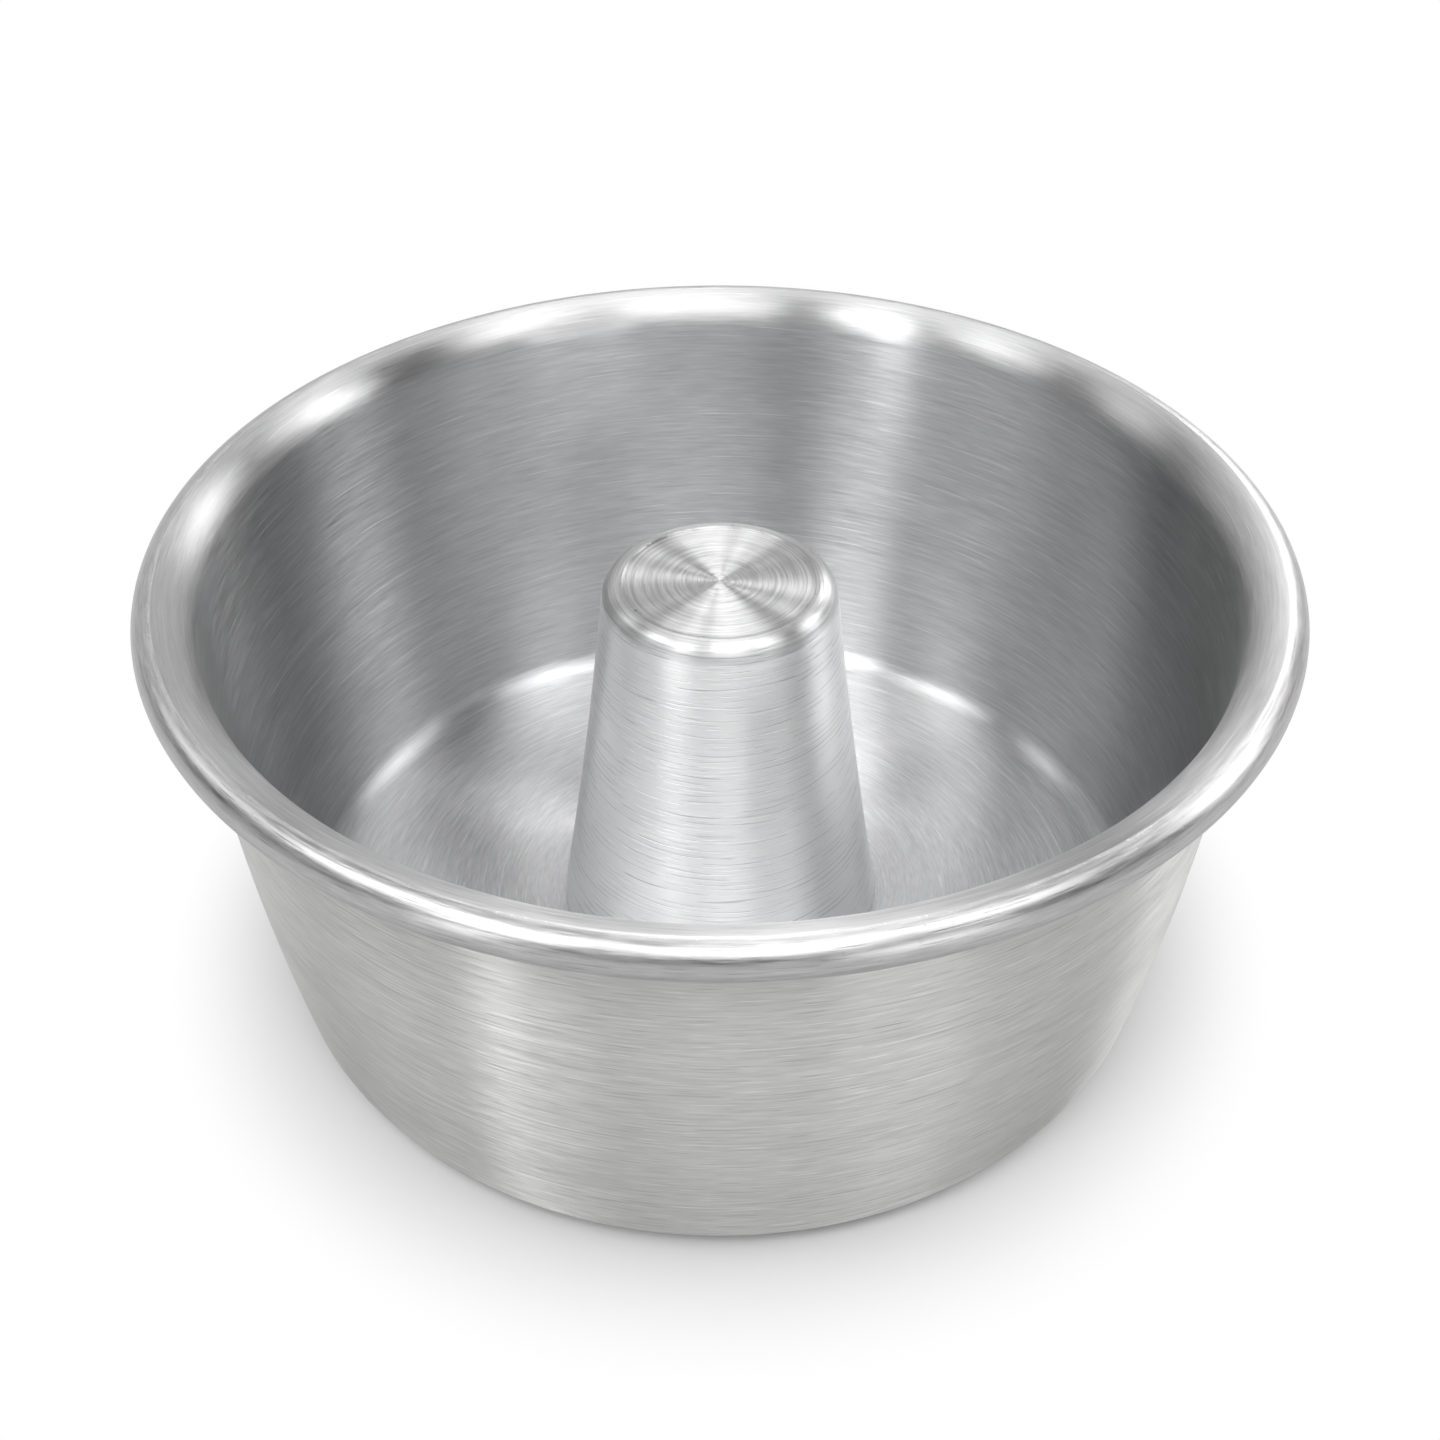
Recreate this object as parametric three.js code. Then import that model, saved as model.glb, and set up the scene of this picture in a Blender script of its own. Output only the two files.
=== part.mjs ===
// Flan pan: a spun sheet-metal body with a rolled rim, and a hollow centre cone
// whose foot is locked into the floor by a rolled lip.
// Millimetres, +Z up, origin on the table at the middle of the base.

import * as THREE from 'three';

// Body sizes
const RIM_DIAMETER = 140;      // across the outside of the rolled rim
const PAN_HEIGHT = 61.6;       // table to the top of the rim
const BODY_SHEET = 1.0;        // sheet thickness of the body
const BEAD_DIAMETER = 5.0;     // outside of the hollow bead at the rim
const RIM_STEP = 6.0;          // how far the bead stands out from the wall's outer face
const MOUTH_RADIUS = 7.0;      // rounding that leads the inner wall over into the bead
const CURL_GAP = 0.5;          // slot left between the curl's edge and the wall
const WALL_TAPER = 5.55;       // how much the wall's radius shrinks from the bead to the table
const WALL_CROWN = 1.4;        // how far the wall bows out of a straight line
const BASE_CORNER = 5.0;       // outer radius between the wall and the base
const REST_RING_WIDTH = 5.0;   // flat ring of the base that stands on the table

// Cone sizes
const CONE_TOP_HEIGHT = 55.0;    // table to the closed top of the cone
const CONE_TOP_DIAMETER = 29.2;  // where the side would meet the top without its shoulder
const CONE_FOOT_DIAMETER = 44.0; // where the side would meet the floor without its rounding
const CONE_SHEET = 0.8;          // sheet thickness of the cone
const CONE_SHOULDER = 2.6;       // radius between the cone's top and its side
const CONE_WAIST = 0.45;         // how far the side bows in from a straight line

// Locked foot: the side turns in over the floor, passes the hole and is rolled out below it
const FOOT_ROUND = 1.2;        // outer radius where the side turns in over the floor
const FOOT_BEND = 0.4;         // inside radius of the two bends that clasp the floor
const FOOT_SEAT_WIDTH = 0.6;   // flat ring of the foot that presses on the floor
const LIP_WIDTH = 3.0;         // how far the rolled lip reaches under the floor
const LIP_GAP = 0.3;           // clearance between the lip and the floor
const LIP_MARGIN = 2.5;        // flat floor left around the lip
const TABLE_CLEARANCE = 0.4;   // height of the lip above the table

// Fineness of the facets
const TURN_SEGMENTS = 60;
const CURL_QUARTER_STEPS = 4;
const WALL_STEPS = 6;
const SIDE_STEPS = 5;
const CORNER_STEPS = 5;
const BEND_STEPS = 4;
const SMALL_BEND_STEPS = 3;

const QUARTER = Math.PI / 2;
const SAME_POINT = 1e-4;

const at = (r, z) => new THREE.Vector2(r, z);

// Direction from one point to another, within half a turn either way.
function heading(from, to) {
  return Math.atan2(to.y - from.y, to.x - from.x);
}

// The crossing of two circles that lies on the left of the way from centre a to centre b.
function leftCrossing(a, radiusA, b, radiusB) {
  const distance = a.distanceTo(b);
  const along = (radiusA ** 2 - radiusB ** 2 + distance ** 2) / (2 * distance);
  const aside = Math.sqrt(radiusA ** 2 - along ** 2);
  const way = b.clone().sub(a).divideScalar(distance);
  return at(a.x + way.x * along - way.y * aside, a.y + way.y * along + way.x * aside);
}

// The circle through a and b that bows out to the right of the way from a to b.
function bowedCircle(a, b, rise) {
  const chord = b.clone().sub(a);
  const radius = chord.lengthSq() / (8 * rise) + rise / 2;
  const right = at(chord.y, -chord.x).normalize();
  const centre = a.clone().lerp(b, 0.5).addScaledVector(right, rise - radius);
  return { centre, radius };
}

function arc(centre, radius, from, to, steps) {
  return Array.from({ length: steps + 1 }, (_, i) => {
    const angle = from + (to - from) * i / steps;
    return at(centre.x + radius * Math.cos(angle), centre.y + radius * Math.sin(angle));
  });
}

// A bend of a sheet, given by the radii of its front face and of its back face.
function bend(centre, frontRadius, backRadius, from, to, steps) {
  return {
    front: arc(centre, frontRadius, from, to, steps),
    back: arc(centre, backRadius, from, to, steps),
  };
}

// A point of a level stretch of sheet, whose back lies straight below its front.
function level(r, z, sheet) {
  return { front: [at(r, z)], back: [at(r, z - sheet)] };
}

function withoutRepeats(points) {
  return points.filter((p, i) => i === 0 || p.distanceTo(points[i - 1]) > SAME_POINT);
}

// Turns a bent sheet about the upright axis: out along its back face, home along its front.
function spinSheet(section, closed) {
  const back = section.flatMap((piece) => piece.back);
  const front = section.flatMap((piece) => piece.front).reverse();
  const outline = withoutRepeats([...back, ...front]);
  if (closed) outline.push(outline[0].clone());
  return new THREE.LatheGeometry(outline, TURN_SEGMENTS).rotateX(QUARTER);
}

// Levels and fits that the body and the cone share
const lipTop = TABLE_CLEARANCE + CONE_SHEET;
const floorUnderside = lipTop + LIP_GAP;
const seatLevel = floorUnderside + BODY_SHEET;

// The cone's visible face: top, shoulder, side, foot rounding, clasp and lip.
const coneFoot = at(CONE_FOOT_DIAMETER / 2, seatLevel);
const coneTop = at(CONE_TOP_DIAMETER / 2, CONE_TOP_HEIGHT);
const side = bowedCircle(coneTop, coneFoot, CONE_WAIST);

// Centre of a rounding of the given radius, at a given height, that runs into the cone's side.
function roundingOnSide(radius, height) {
  const reach = Math.sqrt((side.radius + radius) ** 2 - (height - side.centre.y) ** 2);
  return at(side.centre.x - reach, height);
}

const shoulderCentre = roundingOnSide(CONE_SHOULDER, CONE_TOP_HEIGHT - CONE_SHOULDER);
const footCentre = roundingOnSide(FOOT_ROUND, seatLevel + FOOT_ROUND);
const holeRadius = footCentre.x - FOOT_SEAT_WIDTH;
const lipRadius = holeRadius + LIP_WIDTH;

function coneSection() {
  const fromShoulder = heading(shoulderCentre, side.centre);
  const fromFoot = heading(footCentre, side.centre);
  const footBack = FOOT_ROUND - CONE_SHEET;
  const claspBack = FOOT_BEND + CONE_SHEET;
  const upperClasp = at(holeRadius, seatLevel - FOOT_BEND);
  const lowerClasp = at(holeRadius, lipTop + FOOT_BEND);
  return [
    level(0, CONE_TOP_HEIGHT, CONE_SHEET),
    bend(shoulderCentre, CONE_SHOULDER, CONE_SHOULDER - CONE_SHEET,
      QUARTER, fromShoulder, CORNER_STEPS),
    bend(side.centre, side.radius, side.radius + CONE_SHEET,
      fromShoulder + Math.PI, fromFoot + Math.PI, SIDE_STEPS),
    bend(footCentre, FOOT_ROUND, footBack, fromFoot, -QUARTER, BEND_STEPS),
    bend(upperClasp, FOOT_BEND, claspBack, QUARTER, Math.PI, SMALL_BEND_STEPS),
    bend(lowerClasp, FOOT_BEND, claspBack, Math.PI, 3 * QUARTER, SMALL_BEND_STEPS),
    level(lipRadius, lipTop, CONE_SHEET),
  ];
}

// The body's inner face: floor with its hole, base corner, wall, mouth and rolled bead.
function bodySection() {
  const beadRadius = BEAD_DIAMETER / 2;
  const beadCentre = at(RIM_DIAMETER / 2 - beadRadius, PAN_HEIGHT - beadRadius);
  const wallTop = at(RIM_DIAMETER / 2 - RIM_STEP, beadCentre.y);
  const wallFoot = at(wallTop.x - WALL_TAPER, 0);
  const wall = bowedCircle(wallFoot, wallTop, WALL_CROWN);
  const wallInside = wall.radius - BODY_SHEET;

  const cornerReach = wall.radius - BASE_CORNER;
  const cornerDrop = BASE_CORNER - wall.centre.y;
  const cornerCentre = at(
    wall.centre.x + Math.sqrt(cornerReach ** 2 - cornerDrop ** 2), BASE_CORNER);
  const toCorner = heading(wall.centre, cornerCentre);

  const mouthCentre = leftCrossing(
    beadCentre, MOUTH_RADIUS - beadRadius, wall.centre, wallInside + MOUTH_RADIUS);
  const toMouth = heading(wall.centre, mouthCentre);
  const toBead = heading(mouthCentre, beadCentre);

  // The curl stops where its outer face comes within the gap of the mouth's back face.
  const slotRadius = MOUTH_RADIUS - BODY_SHEET - CURL_GAP;
  const curlEdge = leftCrossing(mouthCentre, slotRadius, beadCentre, beadRadius);
  const curl = [toBead, QUARTER, 0, -QUARTER, heading(beadCentre, curlEdge)];

  const restRingInside = cornerCentre.x - REST_RING_WIDTH;
  return [
    level(holeRadius, seatLevel, BODY_SHEET),
    level(lipRadius + LIP_MARGIN, seatLevel, BODY_SHEET),
    level(restRingInside, BODY_SHEET, BODY_SHEET),
    bend(cornerCentre, BASE_CORNER - BODY_SHEET, BASE_CORNER, -QUARTER, toCorner, CORNER_STEPS),
    bend(wall.centre, wallInside, wall.radius, toCorner, toMouth, WALL_STEPS),
    bend(mouthCentre, MOUTH_RADIUS, MOUTH_RADIUS - BODY_SHEET,
      toMouth + Math.PI, toBead, BEND_STEPS),
    ...curl.slice(1).map((to, i) => bend(
      beadCentre, beadRadius, beadRadius - BODY_SHEET, curl[i], to, CURL_QUARTER_STEPS)),
  ];
}

function namedMesh(name, geometry, color, roughness) {
  const material = new THREE.MeshStandardMaterial({ color, roughness, metalness: 1 });
  const mesh = new THREE.Mesh(geometry, material);
  mesh.name = name;
  return mesh;
}

const pan = new THREE.Group();
pan.add(namedMesh('pan_body', spinSheet(bodySection(), true), 0xb9babb, 0.38));
pan.add(namedMesh('centre_cone', spinSheet(coneSection(), false), 0xd3d5d9, 0.3));

export default pan;
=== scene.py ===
"""Flan pan of spun aluminium sheet, with a turned centre cone locked into its floor.

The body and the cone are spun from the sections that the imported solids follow, with finer steps, a
tighter rounding at the mouth and a shallow step round the cone's faced top. They get brushed, satin,
turned and faced finishes. Metres, +Z up, the pan stands on z = 0.
"""

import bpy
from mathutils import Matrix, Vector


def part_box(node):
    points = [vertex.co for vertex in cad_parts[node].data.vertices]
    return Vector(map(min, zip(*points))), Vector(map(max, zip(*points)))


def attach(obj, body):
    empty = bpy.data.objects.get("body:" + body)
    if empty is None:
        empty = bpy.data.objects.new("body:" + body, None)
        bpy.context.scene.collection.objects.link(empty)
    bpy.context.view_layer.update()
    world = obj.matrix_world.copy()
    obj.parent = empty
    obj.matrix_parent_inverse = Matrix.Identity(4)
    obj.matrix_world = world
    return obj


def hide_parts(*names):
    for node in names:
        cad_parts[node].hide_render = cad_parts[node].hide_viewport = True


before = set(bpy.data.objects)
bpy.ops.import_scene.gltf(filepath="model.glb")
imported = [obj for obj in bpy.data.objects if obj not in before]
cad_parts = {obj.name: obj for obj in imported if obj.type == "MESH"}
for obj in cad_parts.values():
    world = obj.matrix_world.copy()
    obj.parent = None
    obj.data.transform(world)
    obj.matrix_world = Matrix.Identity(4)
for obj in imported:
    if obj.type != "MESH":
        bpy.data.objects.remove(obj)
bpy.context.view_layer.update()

import math

import bmesh
import bpy
import numpy as np
from bpy.props import FloatProperty, FloatVectorProperty, IntProperty, PointerProperty
from mathutils import Vector

bl_info = {
    "name": "Flan Pan",
    "version": (1, 0, 0),
    "blender": (4, 5, 0),
    "location": "View3D > Sidebar > Flan Pan",
    "description": "Spins a flan pan and its centre cone from sheet, and sets a plain studio round it",
    "category": "Add Mesh",
}

MM = 0.001
QUARTER = math.pi / 2
SAME_POINT = 1e-7                # metres within which two points of a section are one
SHARP_EDGE = math.radians(40)    # bend above which an edge isn't shaded smooth
ROOT_BODY = "root"

body_low, body_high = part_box("pan_body")
cone_low, cone_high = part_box("centre_cone")


def length(name, description, default):
    """A size in metres that a user can change."""
    return FloatProperty(
        name=name, description=description, default=default, min=0.0, unit="LENGTH", precision=5)


def colour(name, description, default):
    """A linear colour that a user can change."""
    return FloatVectorProperty(
        name=name, description=description, default=default, size=3, min=0.0, max=1.0, subtype="COLOR")


def share(name, description, default):
    """A number from 0 to 1 that a user can change."""
    return FloatProperty(
        name=name, description=description, default=default, min=0.0, max=1.0, subtype="FACTOR")


class PanBodySizes(bpy.types.PropertyGroup):
    """Sizes of the spun body."""

    rim_diameter: length("Rim diameter", "Across the outside of the rolled rim", body_high.x - body_low.x)
    height: length("Height", "Table to the top of the rim", body_high.z)
    sheet: length("Sheet", "Thickness of the body's sheet", 1.0 * MM)
    bead_diameter: length("Bead diameter", "Outside of the hollow bead at the rim", 5.0 * MM)
    rim_step: length("Rim step", "How far the bead stands out from the wall", 6.0 * MM)
    mouth_radius: length("Mouth radius", "Rounding from the inner wall into the bead", 4.8 * MM)
    curl_gap: length("Curl gap", "Slot between the curl's edge and the wall", 0.5 * MM)
    wall_taper: length("Wall taper", "How much the wall's radius shrinks from bead to table", 5.55 * MM)
    wall_crown: length("Wall crown", "How far the wall bows out of a straight line", 1.4 * MM)
    base_corner: length("Base corner", "Outer radius between the wall and the base", 5.0 * MM)
    rest_ring: length("Rest ring", "Width of the flat ring that stands on the table", 5.0 * MM)


class CentreConeSizes(bpy.types.PropertyGroup):
    """Sizes of the centre cone and of its locked foot."""

    top_height: length("Top height", "Table to the closed top", cone_high.z)
    top_diameter: length("Top diameter", "Where the side would meet the top without its shoulder", 29.2 * MM)
    foot_diameter: length("Foot diameter", "Where the side would meet the floor", 44.0 * MM)
    sheet: length("Sheet", "Thickness of the cone's sheet", 0.8 * MM)
    shoulder: length("Shoulder", "Radius between the top and the side", 2.6 * MM)
    face_step: length("Face step", "How far the faced top lies below the shoulder", 0.12 * MM)
    step_width: length("Step width", "Ring in which the faced top rises to the shoulder", 0.5 * MM)
    waist: length("Waist", "How far the side bows in from a straight line", 0.45 * MM)
    foot_round: length("Foot rounding", "Radius where the side turns in over the floor", 1.2 * MM)
    foot_bend: length("Foot bend", "Inside radius of the bends that clasp the floor", 0.4 * MM)
    seat_width: length("Seat width", "Flat ring of the foot on the floor", 0.6 * MM)
    lip_width: length("Lip width", "How far the rolled lip reaches under the floor", 3.0 * MM)
    lip_gap: length("Lip gap", "Clearance between the lip and the floor", 0.3 * MM)
    lip_margin: length("Lip margin", "Flat floor left around the lip", 2.5 * MM)
    table_clearance: length("Table clearance", "Height of the lip above the table", cone_low.z)


class PanFinish(bpy.types.PropertyGroup):
    """Colours and gloss of the metal."""

    outside_metal: colour("Outside metal", "Brushed aluminium of the outer wall", (0.565, 0.565, 0.56))
    # The inner wall's colour is darker than the outer wall's: painted shade inside the pan.
    shaded_inside_metal: colour("Inside metal", "Duller aluminium of the inner wall", (0.487, 0.49, 0.495))
    # The pan's floor is lighter than its walls: painted light on the floor.
    painted_light_floor_metal: colour("Floor metal", "Brighter aluminium of the pan's floor", (0.68, 0.68, 0.685))
    # The rolled rim's outer half is darker than the mouth and the walls: painted shade on the bead.
    shaded_rim_metal: colour("Rim metal", "Satin aluminium of the rolled rim", (0.43, 0.425, 0.43))
    # The mouth's colour is held dark to tone down its highlights: painted shade inside the rim.
    shaded_mouth_metal: colour("Mouth metal", "Burnished aluminium inside the rim's crest", (0.48, 0.48, 0.485))
    cone_metal: colour("Cone metal", "Brighter aluminium of the cone", (0.92, 0.925, 0.935))
    # The faced top is darker than the cone's side: painted shade on the top against the light from above.
    shaded_top_metal: colour("Top metal", "Faced top of the cone", (0.52, 0.52, 0.525))
    inside_roughness: share("Inside roughness", "Gloss of the inner wall and the floor", 0.33)
    outside_roughness: share("Outside roughness", "Gloss of the outer wall", 0.34)
    rim_roughness: share("Rim roughness", "Gloss of the rolled rim", 0.36)
    cone_roughness: share("Cone roughness", "Gloss of the cone's side", 0.49)
    top_roughness: share("Top roughness", "Gloss of the cone's faced top", 0.34)
    brushing: share("Brushing", "How far the brush lines draw out the reflections", 1.0)
    rim_brushing: share("Rim brushing", "How far they do so on the rolled rim", 0.55)
    cone_brushing: share("Cone brushing", "How far they do so on the cone's side", 0.9)


class PanStudio(bpy.types.PropertyGroup):
    """Camera, floor and light level."""

    focal_length: FloatProperty(
        name="Focal length", description="Lens for a 36 mm wide square picture, in millimetres",
        default=45.565, min=1.0)
    camera_distance: length("Camera distance", "Camera to the point it looks at", 239.88 * MM)
    camera_elevation: FloatProperty(
        name="Camera elevation", description="How far the camera looks down",
        default=math.radians(39.158), unit="ROTATION")
    aim_height: length("Aim height", "Point on the pan's axis that the camera looks at", 32.65 * MM)
    floor_colour: colour("Floor colour", "Pale floor under the pan", (0.5, 0.5, 0.5))
    ambient: FloatProperty(name="Ambient", description="Even light of the room", default=0.12, min=0.0)


class FlanPan(bpy.types.PropertyGroup):
    """All settings of the flan pan."""

    body: PointerProperty(type=PanBodySizes)
    cone: PointerProperty(type=CentreConeSizes)
    finish: PointerProperty(type=PanFinish)
    studio: PointerProperty(type=PanStudio)
    turns: IntProperty(name="Turn steps", description="Facets round the pan", default=288, min=24)


# Sections of bent sheet

ARC_SPACING = 0.5 * MM    # between the points of an arc, where the limits allow it
LEAST_ARC_STEPS = 6
MOST_ARC_STEPS = 48
TOP_RINGS = 12            # rings of points on the cone's faced top
STEP_RINGS = 8            # rings in the step round it
FLOOR_RINGS = 24          # rings on the sloping part of the pan's floor


def eased(run):
    """Rises smoothly from 0 to 1 as run does."""
    run = min(max(run, 0.0), 1.0)
    return run * run * (3 - 2 * run)


def heading(start, end):
    """Direction from one point to another, within half a turn either way."""
    return math.atan2(end.y - start.y, end.x - start.x)


def left_crossing(a, radius_a, b, radius_b):
    """The crossing of two circles that lies on the left of the way from centre a to centre b."""
    way = b - a
    distance = way.length
    along = (radius_a ** 2 - radius_b ** 2 + distance ** 2) / (2 * distance)
    aside = math.sqrt(radius_a ** 2 - along ** 2)
    way /= distance
    return a + way * along + Vector((-way.y, way.x)) * aside


def bowed_circle(a, b, rise):
    """Centre and radius of the circle through a and b that bows out to the right of the way."""
    chord = b - a
    radius = chord.length_squared / (8 * rise) + rise / 2
    right = Vector((chord.y, -chord.x)).normalized()
    return a.lerp(b, 0.5) + right * (rise - radius), radius


def arc(centre, radius, start, end):
    """Points of an arc from one angle to another."""
    steps = round(abs(end - start) * radius / ARC_SPACING)
    steps = min(max(steps, LEAST_ARC_STEPS), MOST_ARC_STEPS)
    angles = [start + (end - start) * i / steps for i in range(steps + 1)]
    return [centre + Vector((math.cos(a), math.sin(a))) * radius for a in angles]


class SheetSection:
    """The cut through a bent sheet: its front face and its back face, from the axis outwards."""

    def __init__(self, thickness):
        self.thickness = thickness
        self.front = []
        self.back = []

    def level(self, radius, height):
        """A point of a level stretch, whose back lies straight below its front."""
        self.front.append(Vector((radius, height)))
        self.back.append(Vector((radius, height - self.thickness)))

    def bend(self, centre, front_radius, back_radius, start, end):
        """A bend, given by the radii of its two faces."""
        self.front += arc(centre, front_radius, start, end)
        self.back += arc(centre, back_radius, start, end)


def without_repeats(points):
    """The points without those that repeat the one before."""
    return [p for i, p in enumerate(points) if i == 0 or (p - points[i - 1]).length > SAME_POINT]


def measured_path(points):
    """How far along the sheet each point lies, from the first one on."""
    steps = [0.0] + [(b - a).length for a, b in zip(points, points[1:])]
    return list(np.cumsum(steps))


def spin(name, section, turns, polish):
    """Turns a section about the upright axis into a closed mesh.

    Each vertex keeps how far along the sheet it lies, whether it is on the back, and its polish.
    """
    faces_of_sheet = [without_repeats(section.front), without_repeats(section.back)]
    rows = []
    for outside, points in enumerate(faces_of_sheet):
        face_rows = [(p, path, outside) for p, path in zip(points, measured_path(points))]
        rows += face_rows if outside == 0 else face_rows[::-1]

    work = bmesh.new()
    layers = {key: work.verts.layers.float.new(key) for key in ("path", "outside", "polish")}
    rings = []
    for point, path, outside in rows:
        on_axis = point.x < SAME_POINT
        ring = []
        for i in range(1 if on_axis else turns):
            angle = 2 * math.pi * i / turns
            vert = work.verts.new((point.x * math.cos(angle), point.x * math.sin(angle), point.y))
            vert[layers["path"]] = path
            vert[layers["outside"]] = outside
            vert[layers["polish"]] = polish(point, outside)
            ring.append(vert)
        rings.append(ring)

    closed_on_axis = len(rings[0]) == 1 and len(rings[-1]) == 1
    for i in range(len(rings) - (1 if closed_on_axis else 0)):
        join_rings(work, rings[i], rings[(i + 1) % len(rings)], turns)
    bmesh.ops.recalc_face_normals(work, faces=work.faces)
    mesh = bpy.data.meshes.new(name)
    work.to_mesh(mesh)
    work.free()
    mesh.shade_smooth()
    mesh.set_sharp_from_angle(angle=SHARP_EDGE)
    piece = bpy.data.objects.new(name, mesh)
    bpy.context.scene.collection.objects.link(piece)
    return piece


def join_rings(work, ring, following, turns):
    """Faces between two rings of vertices; a ring of one vertex is a pole."""
    for i in range(turns):
        j = (i + 1) % turns
        if len(ring) == 1:
            work.faces.new((ring[0], following[i], following[j]))
        elif len(following) == 1:
            work.faces.new((ring[i], following[0], ring[j]))
        else:
            work.faces.new((ring[i], following[i], following[j], ring[j]))


class PanLayout:
    """Levels and centres that the body and the cone share."""

    def __init__(self, pan):
        body, cone = pan.body, pan.cone
        self.lip_top = cone.table_clearance + cone.sheet
        self.seat_level = self.lip_top + cone.lip_gap + body.sheet
        foot = Vector((cone.foot_diameter / 2, self.seat_level))
        top = Vector((cone.top_diameter / 2, cone.top_height))
        self.side_centre, self.side_radius = bowed_circle(top, foot, cone.waist)
        self.shoulder_centre = self.rounding_on_side(cone.shoulder, cone.top_height - cone.shoulder)
        self.foot_centre = self.rounding_on_side(cone.foot_round, self.seat_level + cone.foot_round)
        self.hole_radius = self.foot_centre.x - cone.seat_width
        self.lip_radius = self.hole_radius + cone.lip_width

    def rounding_on_side(self, radius, height):
        """Centre of a rounding of the given radius, at a given height, that runs into the side."""
        drop = height - self.side_centre.y
        reach = math.sqrt((self.side_radius + radius) ** 2 - drop ** 2)
        return Vector((self.side_centre.x - reach, height))


def cone_section(pan):
    """Top, shoulder, side, foot rounding, clasp and lip of the cone."""
    cone, layout = pan.cone, PanLayout(pan)
    from_shoulder = heading(layout.shoulder_centre, layout.side_centre)
    from_foot = heading(layout.foot_centre, layout.side_centre)
    clasp_back = cone.foot_bend + cone.sheet
    upper_clasp = Vector((layout.hole_radius, layout.seat_level - cone.foot_bend))
    lower_clasp = Vector((layout.hole_radius, layout.lip_top + cone.foot_bend))
    section = SheetSection(cone.sheet)
    face_radius = layout.shoulder_centre.x - cone.step_width
    for i in range(TOP_RINGS):
        section.level(face_radius * i / TOP_RINGS, cone.top_height - cone.face_step)
    for i in range(STEP_RINGS):
        run = i / STEP_RINGS
        drop = cone.face_step * (1 - eased(run))
        section.level(face_radius + cone.step_width * run, cone.top_height - drop)
    section.bend(layout.shoulder_centre, cone.shoulder, cone.shoulder - cone.sheet,
                 QUARTER, from_shoulder)
    section.bend(layout.side_centre, layout.side_radius, layout.side_radius + cone.sheet,
                 from_shoulder + math.pi, from_foot + math.pi)
    section.bend(layout.foot_centre, cone.foot_round, cone.foot_round - cone.sheet, from_foot, -QUARTER)
    section.bend(upper_clasp, cone.foot_bend, clasp_back, QUARTER, math.pi)
    section.bend(lower_clasp, cone.foot_bend, clasp_back, math.pi, 3 * QUARTER)
    section.level(layout.lip_radius, layout.lip_top)
    return section


def body_section(pan):
    """Floor with its hole, base corner, wall, mouth and rolled bead of the body."""
    body, layout = pan.body, PanLayout(pan)
    bead_radius = body.bead_diameter / 2
    bead_centre = Vector((body.rim_diameter / 2 - bead_radius, body.height - bead_radius))
    wall_top = Vector((body.rim_diameter / 2 - body.rim_step, bead_centre.y))
    wall_foot = Vector((wall_top.x - body.wall_taper, 0))
    wall_centre, wall_radius = bowed_circle(wall_foot, wall_top, body.wall_crown)
    wall_inside = wall_radius - body.sheet

    corner_reach = wall_radius - body.base_corner
    corner_drop = body.base_corner - wall_centre.y
    corner_centre = Vector((
        wall_centre.x + math.sqrt(corner_reach ** 2 - corner_drop ** 2), body.base_corner))
    to_corner = heading(wall_centre, corner_centre)

    mouth_centre = left_crossing(
        bead_centre, body.mouth_radius - bead_radius, wall_centre, wall_inside + body.mouth_radius)
    to_mouth = heading(wall_centre, mouth_centre)
    to_bead = heading(mouth_centre, bead_centre)
    slot_radius = body.mouth_radius - body.sheet - body.curl_gap
    curl_edge = left_crossing(mouth_centre, slot_radius, bead_centre, bead_radius)
    curl = [to_bead, QUARTER, 0.0, -QUARTER, heading(bead_centre, curl_edge)]

    rest_inside = corner_centre.x - body.rest_ring
    raised_edge = layout.lip_radius + pan.cone.lip_margin
    section = SheetSection(body.sheet)
    section.level(layout.hole_radius, layout.seat_level)
    for i in range(FLOOR_RINGS + 1):
        run = i / FLOOR_RINGS
        drop = eased(run) * (layout.seat_level - body.sheet)
        section.level(raised_edge + (rest_inside - raised_edge) * run, layout.seat_level - drop)
    section.bend(corner_centre, body.base_corner - body.sheet, body.base_corner, -QUARTER, to_corner)
    section.bend(wall_centre, wall_inside, wall_radius, to_corner, to_mouth)
    section.bend(mouth_centre, body.mouth_radius, body.mouth_radius - body.sheet,
                 to_mouth + math.pi, to_bead)
    for start, end in zip(curl, curl[1:]):
        section.bend(bead_centre, bead_radius, bead_radius - body.sheet, start, end)
    return section


# Shader nodes

# Places of the sockets on a Mix node, which has a set of them for each kind of data
MIX_VALUE_INPUTS = (0, 2, 3)
MIX_COLOUR_INPUTS = (0, 6, 7)
MIX_COLOUR_OUTPUT = 2


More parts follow.
